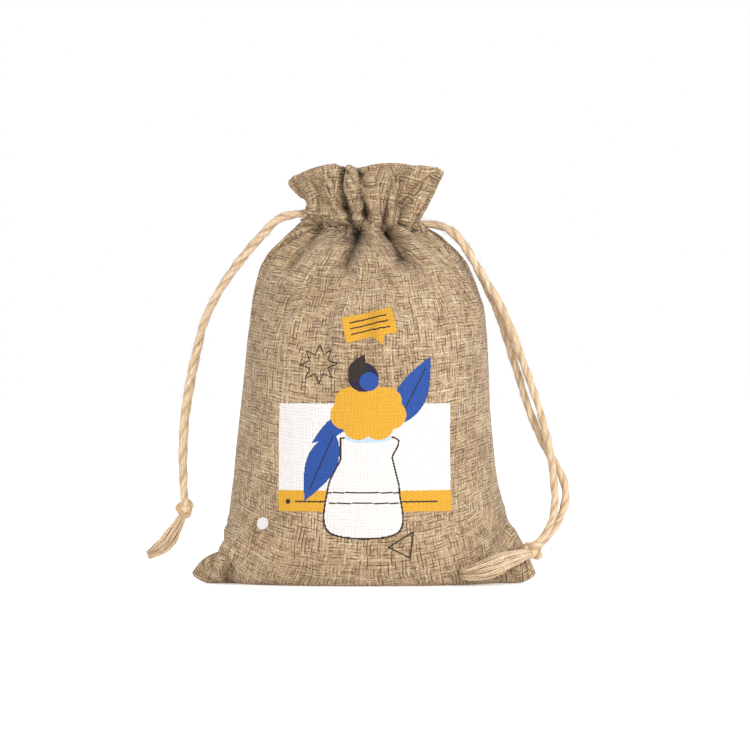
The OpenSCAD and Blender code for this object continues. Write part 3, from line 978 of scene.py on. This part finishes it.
def build_hem(name, P, N, F, front, material, node):
    """The turned-down edge inside the neck, which bulges inwards round the drawstrings."""
    first = int(round(HEM_FROM_V / FINE))
    mid, n = half_grid(P, front)[first:], half_grid(N, front)[first:]
    v = np.linspace(HEM_FROM_V, FLAT_H, len(mid))
    ring = half_grid(oval_ring(9.5, 2.6, int(round(FLAT_W / FINE)))[None], front)[0]
    bulge = np.clip(np.minimum((v - 119.2) / 3.5, (134 - v) / 6.0), 0, 1)
    bulge = 0.6 * (bulge * bulge * (3 - 2 * bulge))[:, None, None]
    inside = mid - n * HEM_GAP
    target = inside.copy()
    target[..., :2] = ring[None]
    inside = inside * (1 - bulge) + target * bulge
    outer, inner = inside + n * 0.4, inside - n * 0.4
    mesh = closed_cloth(name, outer, inner, half_flat(F, front)[first:])
    return link(mesh, material, "sack", "burlap", node)


# --- The printed picture ---

INK = {"white": srgb((216, 211, 209)), "yellow": srgb((203, 150, 43)), "blue": srgb((20, 68, 142)),
       "navy": srgb((20, 20, 48)), "black": srgb((34, 30, 28)), "sky": srgb((176, 196, 216))}
PRINT_STEP = 0.2


def in_polygon(x, z, corners):
    inside = np.zeros(x.shape, bool)
    for (x1, z1), (x2, z2) in zip(corners, corners[1:] + corners[:1]):
        crosses = (z1 > z) != (z2 > z)
        at = (x2 - x1) * (z - z1) / ((z2 - z1) or 1e-9) + x1
        inside ^= crosses & (x < at)
    return inside


def near_lines(x, z, corners, width, closed=True):
    """Within half a width of a line through the corners."""
    best = np.full(x.shape, 1e9)
    pairs = list(zip(corners, corners[1:] + (corners[:1] if closed else [])))
    for (x1, z1), (x2, z2) in pairs:
        dx, dz = x2 - x1, z2 - z1
        t = np.clip(((x - x1) * dx + (z - z1) * dz) / (dx * dx + dz * dz), 0, 1)
        best = np.minimum(best, np.hypot(x - x1 - t * dx, z - z1 - t * dz))
    return best < width / 2


def curve_points(points, n=24, closed=True):
    ring = list(points) + [points[0]] if closed else list(points)
    return [tuple(p) for p in smooth_path(ring, n * (len(ring) - 1))[0][:-1 if closed else None]]


def star(cx, cz, outer, inner, count):
    points = []
    for k in range(2 * count):
        r = outer if k % 2 == 0 else inner
        a = math.pi * k / count + 0.04
        points.append((cx + r * math.cos(a), cz + r * math.sin(a)))
    return points


def leaf(base, tip, width):
    """A pointed leaf from base to tip."""
    (x1, z1), (x2, z2) = base, tip
    dx, dz = x2 - x1, z2 - z1
    length = math.hypot(dx, dz)
    nx, nz = -dz / length, dx / length
    side = [(t, math.sin(math.pi * t ** 0.8) * width / 2) for t in np.linspace(0, 1, 14)]
    ahead = [(x1 + dx * t + nx * w, z1 + dz * t + nz * w) for t, w in side]
    behind = [(x1 + dx * t - nx * w, z1 + dz * t - nz * w) for t, w in side[::-1]]
    return ahead + behind


def paint_picture(x, z):
    """The colour and cover of the ink at flat-cloth places x across and z up, in millimetres."""
    colour = np.zeros(x.shape + (4,))
    cover = np.zeros(x.shape, bool)

    def lay(where, name):
        colour[where] = INK[name]
        cover[where] = True

    lay((np.abs(x) < 24) & (z > 27.6) & (z < 52.2), "white")
    lay((np.abs(x) < 24) & (z > 21.6) & (z < 27.6), "yellow")
    lay(near_lines(x, z, [(-19, 24.4), (20, 24.4)], 0.45, False), "black")
    lay(np.hypot(x + 21.2, z - 24.4) < 0.7, "black")

    lay(in_polygon(x, z, leaf((-8, 44), (-16.5, 24.5), 8.5)), "blue")
    lay(in_polygon(x, z, leaf((8.5, 46), (18.2, 65.5), 8.5)), "blue")
    lay(in_polygon(x, z, leaf((-2, 50), (-14.5, 41), 5)), "blue")
    lay(near_lines(x, z, [(-8.5, 43), (-15, 28)], 0.35, False), "navy")
    lay(near_lines(x, z, [(9.5, 48), (16.6, 62)], 0.35, False), "navy")

    vase = [(-6.5, 42.5), (8.5, 42.5), (7.5, 37), (9.4, 29), (9, 15.5), (-9.4, 15.5), (-10, 28), (-6.4, 36.5)]
    vase = curve_points(vase[:3], 8, False) + curve_points(vase[3:], 8, False)
    lay(in_polygon(x, z, vase), "white")
    lay(near_lines(x, z, vase, 0.5), "black")
    lay(near_lines(x, z, [(-9.6, 24), (9.2, 24)], 0.4, False), "black")
    lay(near_lines(x, z, [(-9.8, 27), (9.3, 27)], 0.4, False), "black")
    lay((np.hypot((x - 1) / 6.4, (z - 42.5) / 1.5) < 1), "sky")

    for k in range(7):
        a = math.radians(90 + k * 360 / 7)
        lay(np.hypot(x - 1 - 6.4 * math.cos(a), z - 50 - 4.4 * math.sin(a)) < 4.1, "yellow")
    lay(np.hypot(x - 1, z - 50) < 6.5, "yellow")
    lay(np.hypot(x + 0.4, z - 59.6) < 4.1, "navy")
    lay(in_polygon(x, z, leaf((-3.6, 58.6), (-0.2, 66), 4.5)), "black")
    lay(np.hypot(x - 1.2, z - 58.4) < 2.6, "blue")

    tilt = math.radians(12)
    a = (x - 1.2) * math.cos(tilt) + (z - 74.2) * math.sin(tilt)
    b = (z - 74.2) * math.cos(tilt) - (x - 1.2) * math.sin(tilt)
    lay((np.abs(a) < 7.3) & (np.abs(b) < 3.5), "yellow")
    lay(in_polygon(a, b, [(0.5, -3.2), (3.8, -3.2), (2.6, -6.2)]), "yellow")
    for row in (1.7, 0.1, -1.5):
        lay((np.abs(a) < 5.6) & (np.abs(b - row) < 0.2), "black")

    lay(near_lines(x, z, star(-12.9, 63.2, 5.5, 2.9, 8), 0.3), "black")
    lay(np.hypot(x + 28.5, z - 17.9) < 1.75, "white")
    lay(near_lines(x, z, [(6.4, 11.5), (13.2, 15.8), (12, 8.4)], 0.38), "black")
    return colour, cover


def build_print(P, N, F, material):
    """The ink, a fine skin just off the cloth, only where the picture covers it."""
    u = np.arange(14.0, 86.0 + PRINT_STEP, PRINT_STEP)
    v = np.arange(BASE_V + 2.0, BASE_V + 86.0, PRINT_STEP)
    uu, vv = np.meshgrid(u, v)
    i, f = np.divmod(vv / FINE, 1)
    j, g = np.divmod(uu / FINE, 1)
    i, j = i.astype(int), j.astype(int)
    f, g = f[..., None], g[..., None]

    def at(A):
        low = A[i, j] * (1 - g) + A[i, j + 1] * g
        high = A[i + 1, j] * (1 - g) + A[i + 1, j + 1] * g
        return low * (1 - f) + high * f

    cloth = at(P)
    skin = cloth + at(N) * (CLOTH_T / 2 + 0.07)
    rows, cols = uu.shape
    middle = 0.5 * (cloth[:-1, :-1] + cloth[1:, 1:])
    across = 0.5 * middle[..., 0] + 0.5 * 0.965 * (uu[:-1, :-1] + 0.5 * PRINT_STEP - FLAT_W / 2)
    colour, kept = paint_picture(across, middle[..., 2])
    quads = np.array(grid_faces(rows, cols)).reshape(rows - 1, cols - 1, 4)[kept]
    used, index = np.unique(quads, return_inverse=True)
    quads = index.reshape(-1, 4)
    points = skin.reshape(-1, 3)[used]
    uv = at(F).reshape(-1, 2)[used]
    mesh = mesh_from("printed_picture", points, quads.tolist(), uv)
    layer = mesh.color_attributes.new("ink", "FLOAT_COLOR", "CORNER")
    layer.data.foreach_set("color", np.repeat(colour[kept], 4, axis=0).astype(np.float32).ravel())
    return link(mesh, material, "sack", "ink", "front_print")


# --- The stitching ---

STITCH_STEPS = int(round(2.6 / FINE))
STITCH_PITCH = int(round(3.6 / FINE))
STITCH_ROWS = {"upper": 132.0, "lower": 119.3}
THREAD_R = 0.27


def stitch_mesh(name, lines):
    """Short rounded stitches along lines of points."""
    tubes = Tubes()
    for line in lines:
        share = np.linspace(-1, 1, len(line))
        rings, _phase = sweep(line, THREAD_R * np.sqrt(np.maximum(0.08, 1 - share ** 4)), 8)
        tubes.add(rings, np.zeros((len(line) * 8, 2)))
    return tubes.mesh(name)


def cut_up(line, first, stop):
    """Every stitch's own piece of a line of points."""
    return [line[k:k + STITCH_STEPS + 1] for k in range(first, stop, STITCH_PITCH)]


def stitches_across(P, N, v, front):
    """Stitches along one row of the cloth, sunk at both ends, that stop short of the two exits."""
    i = int(round(v / FINE))
    row, out = half_grid(P, front)[i], half_grid(N, front)[i]
    first, stop = 2 * STITCH_PITCH, len(row) - 2 * STITCH_PITCH - STITCH_STEPS
    lift = CLOTH_T / 2 + 0.12 - 0.3 * np.abs(np.linspace(-1, 1, STITCH_STEPS + 1))[:, None] ** 3
    return [a + n * lift for a, n in zip(cut_up(row, first, stop), cut_up(out, first, stop))]


def build_stitching(P, N, material):
    half = P.shape[1] // 2
    rows = {}
    for side, front in (("front", True), ("back", False)):
        for place, v in STITCH_ROWS.items():
            rows[f"{side}_{place}"] = stitches_across(P, N, v, front)
    for side, column in (("left", 0), ("right", half)):
        rows[f"{side}_seam"] = cut_up(P[:, column] - N[:, column] * CLOTH_T, int(8 / FINE), int(112 / FINE))
    bottom = P[0, 6:half - 6] + [0, 0, CLOTH_T]
    rows["bottom_seam"] = cut_up(bottom, 0, len(bottom) - STITCH_STEPS)
    for name, lines in rows.items():
        link(stitch_mesh(f"{name}_thread", lines), material, "sack", "thread", f"{name}_stitching")


# --- The pieces ---


def build_strand(side, which, material):
    """One strand of a drawstring, out through its exit and down to the knot."""
    way, (exit_x, exit_z) = WAYS[side], EXITS[side]
    y = -1.3 if which == "front" else 1.3
    key = f"{side}_{which}"
    path, _length = smooth_path([(way * x, y, exit_z) for x in LEAD_IN] + ROUTES[key], TWINE_RINGS)
    nodes = [f"{key}_strand"] + ([f"{side}_cord_tails"] if which == "front" else [])
    piece = link(twine_mesh(f"{key}_twine", path, 3 + len(key)), material, None, "jute", *nodes)
    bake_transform(piece)


def build_cords(material):
    for side, way in WAYS.items():
        body = f"{side}_pull"
        knot = link(knot_mesh(f"{side}_overhand_knot", *KNOTS[side]), material, body, "jute", f"{side}_knot")
        brush = link(tassel_mesh(f"{side}_frayed_ends", *TASSELS[side], 5), material, body, "jute",
                     f"{side}_tassel")
        build_strand(side, "front", material)
        build_strand(side, "back", material)
        z = EXITS[side][1]
        loop = [(way * 10.9 * math.cos(a), 3.3 * math.sin(a), z) for a in np.radians(np.arange(44, 317, 17))]
        mesh = twine_mesh(f"{side}_loop_twine", smooth_path(loop, 140)[0], 21)
        link(mesh, material, "sack", "jute", f"{side}_channel_loop")


def settled_cloth():
    """The sack's cloth on the fine grid, smoothed, creased and trimmed to its outline."""
    rows = int(round(FLAT_H / FINE)) + 1
    P = resample(simulate_sack(), rows, int(round(2 * FLAT_W / FINE)))
    for _ in range(2):
        P = soften(P, 0.5)
    P = sculpt_creases(press_flat(tuck_folds_in(straighten_frill(P))))
    z = P[..., 2]
    P[..., 0] *= np.where(P[..., 0] < 0, table(z, LEFT_TRIM), table(z, RIGHT_TRIM))
    P[..., 0] += table(z, LEAN)
    P = soften(P, 0.4)
    P[..., 2] = np.maximum(P[..., 2], FLOOR_Z)
    return P


def build_sack():
    P = settled_cloth()
    N, F = normals(P), flat_places(P)
    # Painted shade: the turned hem inside the neck gets a copy of the burlap tinted 0.92 darker
    burlap, inside = burlap_material("burlap"), burlap_material("burlap_inside_painted_shade", 0.92)
    sides = (("front", True), ("back", False))
    sheets = [(build_panel(f"{side}_cloth", P, N, F, front, burlap, f"{side}_panel"), FLAT_H)
              for side, front in sides]
    sheets += [(build_hem(f"{side}_turned_hem", P, N, F, front, inside, f"{side}_hem"), HEM_H)
               for side, front in sides]
    build_print(P, N, F, ink_material("print_ink"))
    build_stitching(P, N, thread_material("sewing_thread"))


add_camera()
add_lights()
add_studio()
build_cords(jute_material("jute_twine"))
build_sack()
